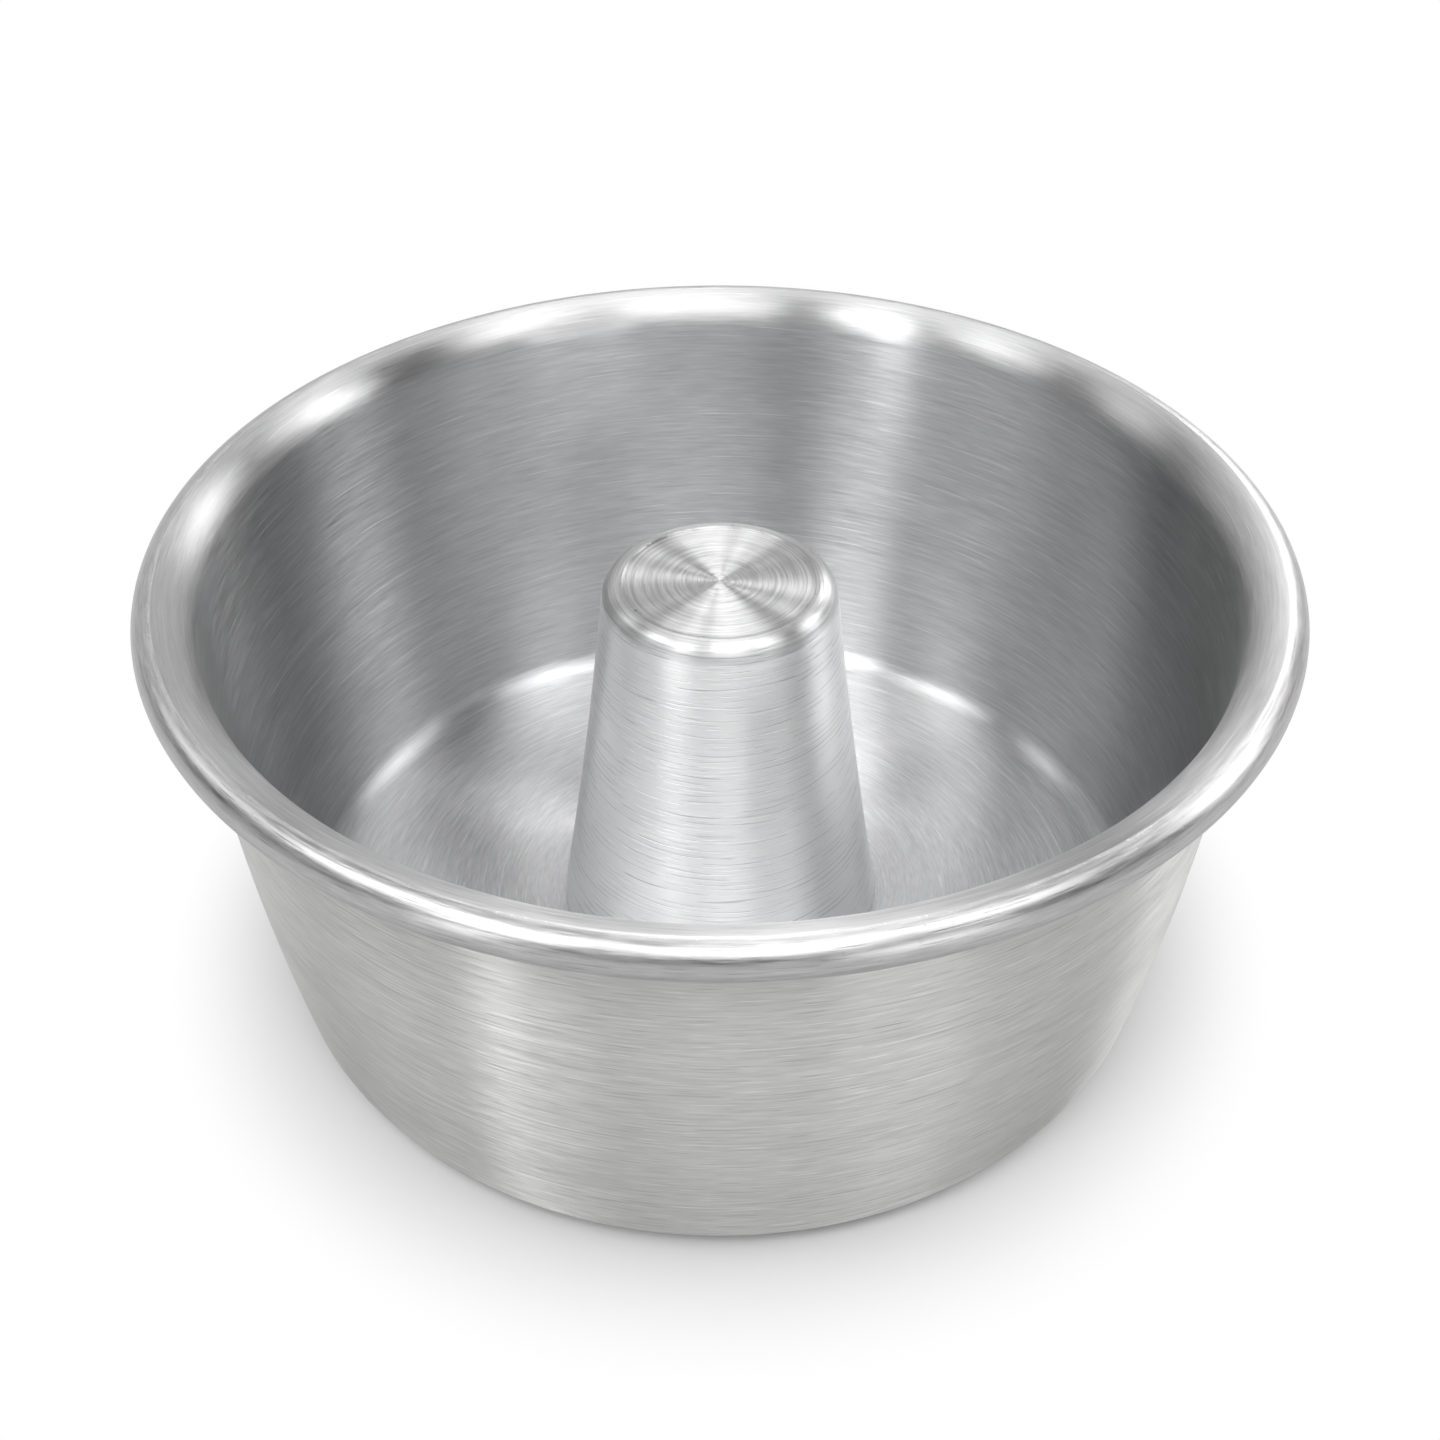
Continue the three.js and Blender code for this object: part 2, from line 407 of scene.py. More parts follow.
class Bench:
    """Adds nodes to a tree; a value or a socket can go into any input."""

    def __init__(self, tree):
        self.tree = tree

    def node(self, kind, inputs=None, **settings):
        made = self.tree.nodes.new(kind)
        for key, value in settings.items():
            setattr(made, key, value)
        for key, value in (inputs or {}).items():
            self.feed(made.inputs[key], value)
        return made

    def feed(self, target, value):
        if isinstance(value, bpy.types.NodeSocket):
            self.tree.links.new(value, target)
        else:
            target.default_value = value

    def math(self, operation, *values):
        return self.node("ShaderNodeMath", dict(enumerate(values)), operation=operation).outputs[0]

    def vector(self, x, y, z):
        return self.node("ShaderNodeCombineXYZ", {"X": x, "Y": y, "Z": z}).outputs[0]

    def place(self):
        """Where a point lies on its piece."""
        return self.node("ShaderNodeTexCoord").outputs["Object"]

    def off_axis(self, place):
        """The part of a place that lies across the upright axis."""
        inputs = {0: place, 1: (1, 1, 0)}
        return self.node("ShaderNodeVectorMath", inputs, operation="MULTIPLY").outputs[0]

    def reach(self, vector):
        """How long a vector is."""
        return self.node("ShaderNodeVectorMath", {0: vector}, operation="LENGTH").outputs["Value"]

    def noise(self, vector, scale=1.0, detail=2.0, roughness=0.5):
        inputs = {"Vector": vector, "Scale": scale, "Detail": detail, "Roughness": roughness}
        return self.node("ShaderNodeTexNoise", inputs).outputs["Fac"]

    def remap(self, value, low, high, to_low=0.0, to_high=1.0, kind="SMOOTHSTEP"):
        """Takes a value from one range to another, and holds it there."""
        inputs = {"Value": value, "From Min": low, "From Max": high, "To Min": to_low, "To Max": to_high}
        return self.node("ShaderNodeMapRange", inputs, interpolation_type=kind).outputs[0]

    def mix(self, factor, a, b):
        """A value between a and b."""
        inputs = dict(zip(MIX_VALUE_INPUTS, (factor, a, b)))
        return self.node("ShaderNodeMix", inputs, data_type="FLOAT").outputs[0]

    def mix_colour(self, factor, a, b, blend="MIX"):
        """A colour between a and b, or another blend of them."""
        inputs = dict(zip(MIX_COLOUR_INPUTS, (factor, a, b)))
        made = self.node("ShaderNodeMix", inputs, data_type="RGBA", blend_type=blend)
        return made.outputs[MIX_COLOUR_OUTPUT]

    def attribute(self, name):
        """A number that the mesh keeps at its vertices."""
        return self.node("ShaderNodeAttribute", attribute_name=name).outputs["Fac"]


def rgba(three):
    return (*three, 1.0)


def node_group(name, inputs, outputs):
    """An empty node group with named number sockets, its bench, its inputs and its outputs."""
    group = bpy.data.node_groups.new(name, "ShaderNodeTree")
    for key, default in inputs.items():
        socket = group.interface.new_socket(key, in_out="INPUT", socket_type="NodeSocketFloat")
        socket.default_value = default
    for key in outputs:
        group.interface.new_socket(key, in_out="OUTPUT", socket_type="NodeSocketFloat")
    bench = Bench(group)
    return group, bench, bench.node("NodeGroupInput").outputs, bench.node("NodeGroupOutput").inputs


def lathe_coordinates(bench):
    """Where a point lies round the axis, as the two numbers of a unit vector."""
    flat = bench.off_axis(bench.place())
    unit = bench.node("ShaderNodeVectorMath", {0: flat}, operation="NORMALIZE").outputs[0]
    x, y, _ = bench.node("ShaderNodeSeparateXYZ", {"Vector": unit}).outputs
    return x, y


def drawn_out(bench, given, line):
    """A place for noise that is drawn out round the axis, and differs from line to line."""
    around_x, around_y = lathe_coordinates(bench)
    return bench.vector(
        bench.math("ADD", bench.math("DIVIDE", around_x, given["Streak"]), given["Shift"]),
        bench.math("DIVIDE", around_y, given["Streak"]),
        line)


def brush_grain_group():
    """Fine grain left by a brush that runs round the axis."""
    group, bench, given, out = node_group(
        "Brush grain", {"Pitch": 0.4 * MM, "Streak": 0.3, "Shift": 0.0}, ["Grain"])
    line = bench.math("DIVIDE", bench.attribute("path"), given["Pitch"])
    bench.feed(out["Grain"], bench.noise(drawn_out(bench, given, line), detail=3.0, roughness=0.6))
    return group


# How tool marks waver, fade at their sides and break off
WAVER_CHANGE = 0.37       # how fast the waver changes from line to line
WAVER_REACH = 1.6         # how many pitches it takes a line aside at most
MARK_SIDE = (0.1, 0.6)    # widths from a line's middle between which it fades
LINE_SPACING = 5.31       # keeps the breaks of one line apart from the next line's
BREAK_LEVEL = 0.72        # noise that a mark needs to show where the share is 0
BREAK_EASING = 0.44       # how much less it needs where the share is 1
BREAK_FADE = 0.1          # noise over which the end of a mark fades
LINE_MIDDLE = 0.5         # where in its pitch the middle of a line lies


def tool_marks_group():
    """Thin broken lines, a pitch apart, where a tool pressed on the turning sheet."""
    group, bench, given, out = node_group(
        "Tool marks",
        {"Pitch": 1.0 * MM, "Width": 0.2 * MM, "Streak": 0.3, "Share": 0.5, "Shift": 0.0},
        ["Depth"])
    around_x, around_y = lathe_coordinates(bench)
    count = bench.math("DIVIDE", bench.attribute("path"), given["Pitch"])
    waver = bench.noise(bench.vector(
        bench.math("ADD", around_x, given["Shift"]), around_y,
        bench.math("MULTIPLY", count, WAVER_CHANGE)))
    count = bench.math("ADD", count, bench.math("MULTIPLY", waver, WAVER_REACH))
    off = bench.math("ABSOLUTE", bench.math("SUBTRACT", bench.math("FRACT", count), LINE_MIDDLE))
    off = bench.math("DIVIDE", bench.math("MULTIPLY", off, given["Pitch"]), given["Width"])
    groove = bench.remap(off, *MARK_SIDE, 1.0, 0.0)
    line = bench.math("MULTIPLY", bench.math("FLOOR", count), LINE_SPACING)
    along = bench.noise(drawn_out(bench, given, line), detail=1.0)
    least = bench.math("SUBTRACT", BREAK_LEVEL, bench.math("MULTIPLY", given["Share"], BREAK_EASING))
    seen = bench.remap(along, least, bench.math("ADD", least, BREAK_FADE))
    bench.feed(out["Depth"], bench.math("MULTIPLY", groove, seen))
    return group


# Where nicks gather and how they deepen
PATCH_SCALE = 0.31          # scale of the patches that have nicks, next to that of the nicks
PATCH_EDGE = (0.45, 0.65)   # noise between which a patch begins
NICK_LEVEL = 0.75           # noise at which a nick begins where the share is 0
NICK_EASING = 0.3           # how much less it needs where the share is 1
NICK_DEEPEST = 0.8          # noise at which it is deepest


def nicks_group():
    """Small dents and scuffs, as a depth from 0 to 1."""
    group, bench, given, out = node_group("Nicks", {"Size": 1.0 * MM, "Share": 0.3}, ["Depth"])
    place = bench.place()
    scale = bench.math("DIVIDE", 1.0, given["Size"])
    where = bench.noise(place, scale=bench.math("MULTIPLY", scale, PATCH_SCALE), detail=1.0)
    pits = bench.noise(place, scale=scale, detail=2.0, roughness=0.6)
    patch = bench.remap(where, *PATCH_EDGE)
    least = bench.math("SUBTRACT", NICK_LEVEL, bench.math("MULTIPLY", given["Share"], NICK_EASING))
    dent = bench.remap(pits, least, NICK_DEEPEST)
    bench.feed(out["Depth"], bench.math("MULTIPLY", patch, dent))
    return group


SHARED_GROUPS = {}


def effect(build):
    """A shader node group, built once and shared by the materials."""
    name = build.__name__
    if name not in SHARED_GROUPS:
        SHARED_GROUPS[name] = build()
    return SHARED_GROUPS[name]


def placed(bench, effects):
    """Places effects in a material, each with its own values, and gives their masks by name."""
    masks = {}
    for name, (build, values) in effects.items():
        masks[name] = bench.node("ShaderNodeGroup", values, node_tree=effect(build)).outputs[0]
    return masks


def weighed(bench, masks, weights, base=0.0):
    """The base and each mask times its weight, added up."""
    total = base
    for name, weight in weights.items():
        total = bench.math("MULTIPLY_ADD", masks[name], weight, total)
    return total


# Materials

BRUSHED_ROUND = 0.25         # turn of the anisotropy that lays the brush lines round the axis
GRAIN_RANGE = (0.3, 0.7)     # where most values of the brush grain lie
MEAN_GRAIN = 0.5


def metal_material(name, brushing):
    """A new metal that is brushed round the axis, its bench and its Principled node."""
    material = bpy.data.materials.new(name)
    material.use_nodes = True
    bench = Bench(material.node_tree)
    shader = material.node_tree.nodes["Principled BSDF"]
    shader.inputs["Metallic"].default_value = 1.0
    shader.inputs["Anisotropic"].default_value = brushing
    shader.inputs["Anisotropic Rotation"].default_value = BRUSHED_ROUND
    tangent = bench.node("ShaderNodeTangent", direction_type="RADIAL", axis="Z")
    bench.feed(shader.inputs["Tangent"], tangent.outputs[0])
    return material, bench, shader


def dress(bench, shader, metal, tone, roughness, relief, depth):
    """Gives a shader a metal's colour times a tone, its roughness and its relief."""
    grey = bench.node("ShaderNodeCombineColor", dict.fromkeys(("Red", "Green", "Blue"), tone)).outputs[0]
    bump = bench.node("ShaderNodeBump", {"Strength": 1.0, "Distance": depth, "Height": relief})
    bench.feed(shader.inputs["Base Color"], bench.mix_colour(1.0, metal, grey, "MULTIPLY"))
    bench.feed(shader.inputs["Roughness"], roughness)
    bench.feed(shader.inputs["Normal"], bump.outputs[0])


# How far along the body's sheet the floor's painted light, a brighter colour, fades into the wall's colour
FLOOR_EDGE = (33 * MM, 38 * MM)

# Lines of the brushed sheet, and their weights in its tone, its roughness and its relief
BODY_EFFECTS = {
    "fine": (brush_grain_group, dict(Pitch=0.3 * MM, Streak=0.09, Shift=3.0)),
    "soft": (brush_grain_group, dict(Pitch=1.1 * MM, Streak=0.5, Shift=11.0)),
    "bands": (brush_grain_group, dict(Pitch=6.0 * MM, Streak=2.5, Shift=31.0)),
    "dashes": (tool_marks_group, dict(Pitch=0.7 * MM, Width=0.2 * MM, Streak=0.11, Share=0.5, Shift=5.0)),
    "glints": (tool_marks_group, dict(Pitch=0.6 * MM, Width=0.17 * MM, Streak=0.09, Share=0.5, Shift=17.0)),
    "hairs": (tool_marks_group, dict(Pitch=1.3 * MM, Width=0.17 * MM, Streak=0.18, Share=0.45, Shift=9.0)),
}
BODY_TONE = {"fine": 0.6, "soft": 0.22, "bands": 0.1, "dark": -0.2, "bright": 0.18}
BODY_TONE_BASE = 0.55
BODY_ROUGHNESS = {"fine": 0.16, "soft": 0.06, "bands": 0.06}
BODY_ROUGHNESS_BASE = -0.14
BODY_RELIEF = {"fine": 1.2, "soft": 0.6, "dark": -1.0, "bright": 0.7}
BODY_RELIEF_DEPTH = 0.014 * MM
INSIDE_HAIRS = 1.2


def spun_body_material(finish):
    """Brushed inside and outside, and close to the rolled rim's finish where the sheet meets it."""
    material, bench, shader = metal_material("spun_aluminium", finish.brushing)
    outside = bench.attribute("outside")
    inside = bench.math("SUBTRACT", 1.0, outside)
    polish = bench.attribute("polish")
    masks = placed(bench, BODY_EFFECTS)
    masks["dark"] = bench.math("MULTIPLY", masks["dashes"], outside)
    inside_bright = bench.math("MULTIPLY", masks["hairs"], INSIDE_HAIRS)
    masks["bright"] = bench.mix(outside, inside_bright, masks["glints"])

    # This mask carries painted light: a brighter colour on the pan's floor.
    painted_floor_light = bench.math("MULTIPLY", inside, bench.remap(bench.attribute("path"), *FLOOR_EDGE, 1.0, 0.0))
    # The inner wall takes the darker colour that paints shade inside the pan.
    wall_metal = bench.mix_colour(outside, rgba(finish.shaded_inside_metal), rgba(finish.outside_metal))
    metal = bench.mix_colour(painted_floor_light, wall_metal, rgba(finish.painted_light_floor_metal))
    # The rolled rim's colours carry painted shade, on the mouth and on the bead's outer half.
    roll_metal = bench.mix_colour(outside, rgba(finish.shaded_mouth_metal), rgba(finish.shaded_rim_metal))
    metal = bench.mix_colour(polish, metal, roll_metal)
    tone = weighed(bench, masks, BODY_TONE, BODY_TONE_BASE)

    roughness = bench.mix(outside, finish.inside_roughness, finish.outside_roughness)
    roughness = bench.mix(polish, roughness, finish.rim_roughness)
    uneven = weighed(bench, masks, BODY_ROUGHNESS, BODY_ROUGHNESS_BASE)
    roughness = bench.math("ADD", roughness, uneven)
    relief = weighed(bench, masks, BODY_RELIEF)
    dress(bench, shader, metal, tone, roughness, relief, BODY_RELIEF_DEPTH)
    return material


CREST_DEPTH = 0.07 * MM     # how far below the top of the rim its crest gets a painted highlight with glints
CREST_WIDTH = 1.0 * MM      # how far either side of the crest the mouth's metal fades into the rim's

# Lines and dents of the rolled rim, and their weights
RIM_EFFECTS = {
    "fine": (brush_grain_group, dict(Pitch=0.25 * MM, Streak=0.06, Shift=23.0)),
    "scores": (tool_marks_group, dict(Pitch=0.5 * MM, Width=0.14 * MM, Streak=0.08, Share=0.45, Shift=29.0)),
    "dents": (nicks_group, dict(Size=0.7 * MM, Share=0.55)),
    "specks": (nicks_group, dict(Size=0.4 * MM, Share=0.9)),
}
# Specks and grain that break up the painted highlight along the crest
RIM_CREST_GLINTS = {"specks": 0.45, "fine": 0.3}
RIM_TONE = {"fine": 0.8, "scores": -0.2, "dents": -0.15, "crest_glint": 1.0}
RIM_TONE_BASE = 0.62
RIM_UNEVEN = 0.06
RIM_RELIEF = {"fine": 1.0, "scores": -0.8, "dents": -1.2}
RIM_RELIEF_DEPTH = 0.012 * MM


def rolled_rim_material(finish, crest_radius, rim_top):
    """Satin metal with short lines along the bead, small dents and a painted highlight with glints along its
    crest.
    """
    material, bench, shader = metal_material("rolled_aluminium", finish.rim_brushing)
    masks = placed(bench, RIM_EFFECTS)
    place = bench.place()
    radius = bench.reach(bench.off_axis(place))
    outward = bench.remap(radius, crest_radius - CREST_WIDTH, crest_radius + CREST_WIDTH)
    # Outward of the crest the colour turns darker: painted shade on the bead's outer half.
    metal = bench.mix_colour(outward, rgba(finish.shaded_mouth_metal), rgba(finish.shaded_rim_metal))

    level = bench.node("ShaderNodeSeparateXYZ", {"Vector": place}).outputs["Z"]
    crest = bench.remap(level, rim_top - CREST_DEPTH, rim_top)
    # A painted highlight along the crest, broken into glints by specks and grain.
    masks["crest_glint"] = bench.math("MULTIPLY", crest, weighed(bench, masks, RIM_CREST_GLINTS))
    tone = weighed(bench, masks, RIM_TONE, RIM_TONE_BASE)
    uneven = bench.remap(masks["fine"], *GRAIN_RANGE, -RIM_UNEVEN, RIM_UNEVEN, "LINEAR")
    roughness = bench.math("ADD", uneven, finish.rim_roughness)
    relief = weighed(bench, masks, RIM_RELIEF)
    dress(bench, shader, metal, tone, roughness, relief, RIM_RELIEF_DEPTH)
    return material


# How far along the cone's sheet the nicks and the painted shade round the faced top's step come and go
STEP_FROM = (11.4 * MM, 12.0 * MM)
STEP_TO = (12.2 * MM, 13.4 * MM)

# Lines and nicks of the cone, and their weights
CONE_EFFECTS = {
    "fine": (brush_grain_group, dict(Pitch=0.25 * MM, Streak=0.4, Shift=5.0)),
    "rings": (brush_grain_group, dict(Pitch=0.34 * MM, Streak=1.2, Shift=19.0)),
    "grooves": (tool_marks_group, dict(Pitch=0.85 * MM, Width=0.19 * MM, Streak=0.5, Share=0.62, Shift=2.0)),
    "hairs": (tool_marks_group, dict(Pitch=0.5 * MM, Width=0.13 * MM, Streak=0.24, Share=0.5, Shift=7.0)),
    "glints": (tool_marks_group, dict(Pitch=0.6 * MM, Width=0.15 * MM, Streak=0.24, Share=0.5, Shift=13.0)),
    "nicks": (nicks_group, dict(Size=0.6 * MM, Share=0.7)),
}
CONE_DARK = {"side_grooves": 0.28, "hairs": 0.15}
# The shoulder's weight darkens the colour there: painted shade on the cone's shoulder.
CONE_TONE = {
    "fine": 0.3, "dark": -1.0, "bright": 0.2, "ringed": 1.3, "step": -0.15, "dents": -0.5, "shoulder": -0.3}
CONE_TONE_BASE = 0.93
CONE_UNEVEN = 0.05
CONE_RELIEF = {"fine": 0.7, "dark": -4.0, "bright": 1.2, "ringed": 2.4, "dents": -2.0}
CONE_RELIEF_DEPTH = 0.018 * MM
SHOULDER_PEAK = 4.0          # brings the shoulder's mask to 1 halfway between the side and the top
SHOULDER_ROUGHNESS = 0.12    # what the shoulder adds to the roughness
CONE_EDGE_TINT = (0.25, 0.25, 0.25, 1.0)


def turned_cone_material(name, finish, brushing):
    """Bright metal with coarse broken lines from the turning tool, and close rings on its top."""
    material, bench, shader = metal_material(name, brushing)
    shader.inputs["Specular Tint"].default_value = CONE_EDGE_TINT
    faced = bench.attribute("polish")
    on_side = bench.math("SUBTRACT", 1.0, faced)
    path = bench.attribute("path")
    masks = placed(bench, CONE_EFFECTS)
    # The step's ring is painted darker, as shade at the step, and holds its nicks.
    masks["step"] = bench.math(
        "MULTIPLY", bench.remap(path, *STEP_FROM), bench.remap(path, *STEP_TO, 1.0, 0.0))
    masks["dents"] = bench.math("MULTIPLY", masks["nicks"], masks["step"])
    # This mask paints shade on the shoulder against its highlight, and roughens it.
    masks["shoulder"] = bench.math("MULTIPLY", bench.math("MULTIPLY", faced, on_side), SHOULDER_PEAK)
    masks["side_grooves"] = bench.math("MULTIPLY", masks["grooves"], on_side)
    masks["dark"] = weighed(bench, masks, CONE_DARK)
    masks["bright"] = bench.math("MULTIPLY", masks["glints"], on_side)
    masks["ringed"] = bench.math("MULTIPLY", bench.math("SUBTRACT", masks["rings"], MEAN_GRAIN), faced)

    # The faced top takes a darker colour: painted shade on the cone's top.
    metal = bench.mix_colour(faced, rgba(finish.cone_metal), rgba(finish.shaded_top_metal))
    tone = weighed(bench, masks, CONE_TONE, CONE_TONE_BASE)
    roughness = bench.mix(faced, finish.cone_roughness, finish.top_roughness)
    roughness = bench.math("MULTIPLY_ADD", masks["shoulder"], SHOULDER_ROUGHNESS, roughness)
    uneven = bench.remap(masks["fine"], *GRAIN_RANGE, -CONE_UNEVEN, CONE_UNEVEN, "LINEAR")
    roughness = bench.math("ADD", uneven, roughness)
    relief = weighed(bench, masks, CONE_RELIEF)
    dress(bench, shader, metal, tone, roughness, relief, CONE_RELIEF_DEPTH)
    return material


WHITE = (1, 1, 1, 1)

# Distances from the axis between which the floor fades from its own shading into white
SEEN_SHADOW = (52 * MM, 78 * MM)
MIRRORED_SHADOW = (68 * MM, 140 * MM)


def floor_material(studio):
    """Pale floor that fades into white away from the pan, and keeps the pan's shadow."""
    material = bpy.data.materials.new("pale_floor")
    material.use_nodes = True
    bench = Bench(material.node_tree)
    nodes = material.node_tree.nodes
    nodes.remove(nodes["Principled BSDF"])
    away = bench.reach(bench.place())
    path = bench.node("ShaderNodeLightPath").outputs
    mirrored = bench.math("MAXIMUM", path["Is Glossy Ray"], path["Is Transmission Ray"])
    white = bench.math(
        "MAXIMUM",
        bench.math("MULTIPLY", path["Is Camera Ray"], bench.remap(away, *SEEN_SHADOW)),
        bench.math("MULTIPLY", mirrored, bench.remap(away, *MIRRORED_SHADOW)))
    matt = bench.node("ShaderNodeBsdfDiffuse", {"Color": rgba(studio.floor_colour)})
    glow = bench.node("ShaderNodeEmission", {"Color": WHITE, "Strength": 1.0})
    mixed = bench.node("ShaderNodeMixShader", {0: white})
    bench.feed(mixed.inputs[1], matt.outputs[0])
    bench.feed(mixed.inputs[2], glow.outputs[0])
    bench.feed(nodes["Material Output"].inputs["Surface"], mixed.outputs[0])
    return material


# Studio

FLOOR_REACH = 3.0                # half the floor's width
BACKDROP_RISE = 0.1              # how far up a direction points where the white backdrop ends
BACK_WALL_RISE = (0.75, 0.95)    # how far up it points where the pale back wall fades out
BACK_WALL_WIDTH = (0.4, 0.7)     # how far back it points where that wall fades in
BACK_WALL_SHARE = 0.85           # how white that wall is
SENSOR_WIDTH = 36.0              # millimetres
NEAR_CLIP = 10 * MM
LAMP_DISTANCE = 0.9
LAMP_AIM_HEIGHT = 30 * MM

# Each lamp: name, azimuth and elevation in degrees, width, height, brightness
LAMPS = [
    ("overhead_lamp", 90.0, 82.0, 0.35, 0.35, 3.0),
    ("back_lamp", 180.0, 60.0, 0.30, 0.30, 3.4),
    ("left_key_lamp", -43.0, 53.0, 0.20, 0.35, 12.0),
    ("left_fill_lamp", -82.0, 54.0, 0.24, 0.35, 7.0),
    ("left_side_lamp", -112.0, 38.0, 0.24, 0.30, 3.2),
    ("left_low_lamp", -41.0, 12.0, 0.12, 0.25, 7.5),
    ("front_lamp", 6.0, 57.0, 0.42, 0.35, 6.5),
    ("right_key_lamp", 66.0, 58.0, 0.24, 0.35, 6.5),
    ("right_side_lamp", 98.0, 29.0, 0.24, 0.26, 6.5),
    ("right_high_lamp", 118.0, 42.0, 0.24, 0.30, 5.0),
    ("right_back_lamp", 148.0, 30.0, 0.24, 0.30, 4.5),
    ("right_low_lamp", 33.0, 13.0, 0.36, 0.25, 4.0),
]


def direction(azimuth, elevation):
    """Unit vector; azimuth 0 is the camera's side, 90 is +X."""
    flat = math.cos(elevation)
    return Vector((flat * math.sin(azimuth), -flat * math.cos(azimuth), math.sin(elevation)))


def aimed(obj, place, target):
    """Stands a lamp or a camera at a place and turns it to a target."""
    obj.location = place
    obj.rotation_euler = (target - place).to_track_quat("-Z", "Y").to_euler()
    bpy.context.scene.collection.objects.link(obj)


def add_lamp(name, azimuth, elevation, width, height, brightness):
    """A soft box that faces the pan; brightness 1 looks white in a mirror."""
    lamp = bpy.data.lights.new(name, "AREA")
    lamp.shape = "RECTANGLE"
    lamp.size = width
    lamp.size_y = height
    lamp.energy = brightness * math.pi * width * height
    place = direction(math.radians(azimuth), math.radians(elevation)) * LAMP_DISTANCE
    aimed(bpy.data.objects.new(name, lamp), place, Vector((0, 0, LAMP_AIM_HEIGHT)))


def add_camera(studio):
    """The camera, straight in front of the pan and looking down at it."""
    lens = bpy.data.cameras.new("photo_camera")
    lens.sensor_width = SENSOR_WIDTH
    lens.lens = studio.focal_length
    lens.clip_start = NEAR_CLIP
    camera = bpy.data.objects.new("photo_camera", lens)
    target = Vector((0, 0, studio.aim_height))
    aimed(camera, target + direction(0.0, studio.camera_elevation) * studio.camera_distance, target)
    bpy.context.scene.camera = camera


def add_world(studio):
    """Even room light; the camera sees a white backdrop, and reflections also a pale back wall."""
    world = bpy.data.worlds.new("studio_room")
    bpy.context.scene.world = world
    world.use_nodes = True
    bench = Bench(world.node_tree)
    nodes = world.node_tree.nodes
    room = nodes["Background"]
    room.inputs["Color"].default_value = WHITE
    room.inputs["Strength"].default_value = studio.ambient
    backdrop = bench.node("ShaderNodeBackground", {"Color": WHITE, "Strength": 1.0})
    path = bench.node("ShaderNodeLightPath").outputs
    toward = bench.node("ShaderNodeTexCoord").outputs["Generated"]
    _, back, rise = bench.node("ShaderNodeSeparateXYZ", {"Vector": toward}).outputs
    mirrored = bench.math("MAXIMUM", path["Is Glossy Ray"], path["Is Transmission Ray"])
    low = bench.remap(rise, 0.0, BACKDROP_RISE, 1.0, 0.0)
    wall = bench.math(
        "MULTIPLY",
        bench.remap(back, *BACK_WALL_WIDTH),
        bench.remap(rise, *BACK_WALL_RISE, BACK_WALL_SHARE, 0.0))
    seen = bench.math("MULTIPLY", mirrored, bench.math("MAXIMUM", low, wall))
    mixed = bench.node("ShaderNodeMixShader", {0: bench.math("MAXIMUM", path["Is Camera Ray"], seen)})
    bench.feed(mixed.inputs[1], room.outputs[0])
    bench.feed(mixed.inputs[2], backdrop.outputs[0])
    bench.feed(nodes["World Output"].inputs["Surface"], mixed.outputs[0])


def add_floor(studio):
    """A wide level floor that the pan stands on."""
    mesh = bpy.data.meshes.new("studio_floor")
    signs = ((-1, -1), (1, -1), (1, 1), (-1, 1))
    corners = [(x * FLOOR_REACH, y * FLOOR_REACH, 0) for x, y in signs]
    mesh.from_pydata(corners, [], [range(len(corners))])
    mesh.materials.append(floor_material(studio))
    floor = bpy.data.objects.new("studio_floor", mesh)
    bpy.context.scene.collection.objects.link(floor)


# Operators

POLISH_FADE = 1.5 * MM    # how far the finish of the bead fades into the sheet beside it
MOUTH_DEPTH = 2.5 * MM    # how far below the top of the rim that finish reaches inside the mouth
RIM_SLOT = 1              # place of the rolled rim's material on the body
TOP_SLOT = 1              # place of the faced top's material on the cone


class FLANPAN_OT_spin_body(bpy.types.Operator):
    """Spin the pan's body from one sheet, with its floor, wall and rolled rim"""

    bl_idname = "flan_pan.spin_body"
    bl_label = "Spin body"

    def execute(self, context):
        pan = context.scene.flan_pan
        bead_radius = pan.body.bead_diameter / 2
        bead_centre = Vector((pan.body.rim_diameter / 2 - bead_radius, pan.body.height - bead_radius))
        mouth_low = pan.body.height - MOUTH_DEPTH

        def polish(point, outside):
            away = (point - bead_centre).length - bead_radius
            if not outside:
                away = min(away, mouth_low - point.y)
            return 1 - eased(away / POLISH_FADE)

        body = spin("spun_body", body_section(pan), pan.turns, polish)
        body.data.materials.append(spun_body_material(pan.finish))
        body.data.materials.append(rolled_rim_material(pan.finish, bead_centre.x, pan.body.height))
        for face in body.data.polygons:
            middle = Vector((face.center.xy.length, face.center.z))
            if (middle - bead_centre).length < bead_radius:
                face.material_index = RIM_SLOT
        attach(body, ROOT_BODY)
        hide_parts("pan_body")
        return {"FINISHED"}


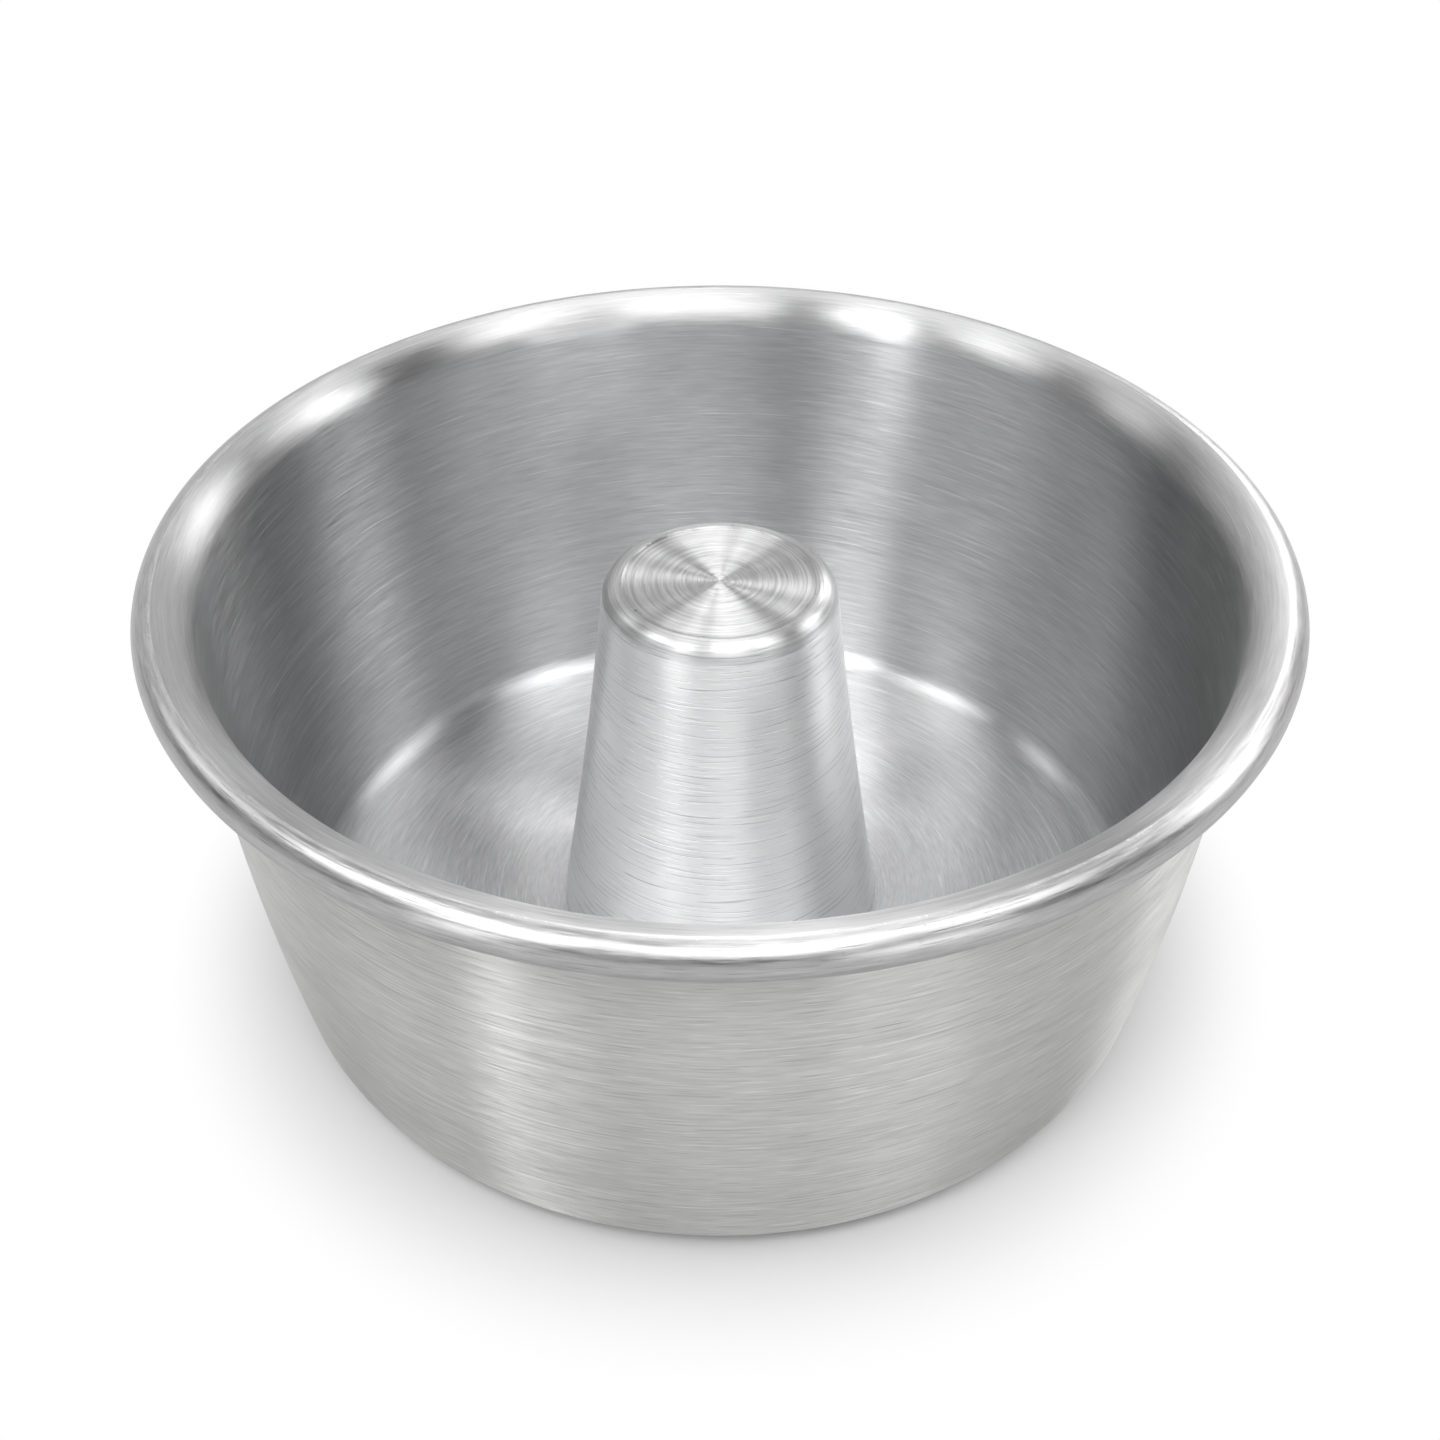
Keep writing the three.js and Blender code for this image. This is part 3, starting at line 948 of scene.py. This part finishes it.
class FLANPAN_OT_turn_cone(bpy.types.Operator):
    """Turn the hollow centre cone, with its closed top and locked foot"""

    bl_idname = "flan_pan.turn_cone"
    bl_label = "Turn cone"

    def execute(self, context):
        pan = context.scene.flan_pan
        layout = PanLayout(pan)

        def polish(point, _outside):
            return eased((point.y - layout.shoulder_centre.y) / pan.cone.shoulder)

        cone = spin("turned_cone", cone_section(pan), pan.turns, polish)
        brushings = {"turned_aluminium": pan.finish.cone_brushing, "faced_aluminium": pan.finish.brushing}
        for name, brushing in brushings.items():
            cone.data.materials.append(turned_cone_material(name, pan.finish, brushing))
        for face in cone.data.polygons:
            on_top = face.center.z > pan.cone.top_height - pan.cone.sheet / 2
            if on_top and face.center.xy.length < layout.shoulder_centre.x:
                face.material_index = TOP_SLOT
        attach(cone, ROOT_BODY)
        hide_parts("centre_cone")
        return {"FINISHED"}


class FLANPAN_OT_set_studio(bpy.types.Operator):
    """Set a pale floor, soft lamps and the camera round the pan"""

    bl_idname = "flan_pan.set_studio"
    bl_label = "Set studio"

    def execute(self, context):
        studio = context.scene.flan_pan.studio
        add_camera(studio)
        add_floor(studio)
        add_world(studio)
        for lamp in LAMPS:
            add_lamp(*lamp)
        context.scene.view_settings.view_transform = "Standard"
        return {"FINISHED"}


class FLANPAN_PT_build(bpy.types.Panel):
    """Lists the steps that build the flan pan"""

    bl_idname = "FLANPAN_PT_build"
    bl_label = "Flan Pan"
    bl_space_type = "VIEW_3D"
    bl_region_type = "UI"
    bl_category = "Flan Pan"

    def draw(self, context):
        for operator in OPERATORS:
            self.layout.operator(operator.bl_idname)


SETTINGS = (PanBodySizes, CentreConeSizes, PanFinish, PanStudio, FlanPan)
OPERATORS = (FLANPAN_OT_set_studio, FLANPAN_OT_spin_body, FLANPAN_OT_turn_cone)
CLASSES = (*SETTINGS, *OPERATORS, FLANPAN_PT_build)


def register():
    for cls in CLASSES:
        bpy.utils.register_class(cls)
    bpy.types.Scene.flan_pan = PointerProperty(type=FlanPan)


def unregister():
    del bpy.types.Scene.flan_pan
    for cls in reversed(CLASSES):
        bpy.utils.unregister_class(cls)


def main():
    register()
    bpy.ops.flan_pan.set_studio()
    bpy.ops.flan_pan.spin_body()
    bpy.ops.flan_pan.turn_cone()


if __name__ == "__main__":
    main()
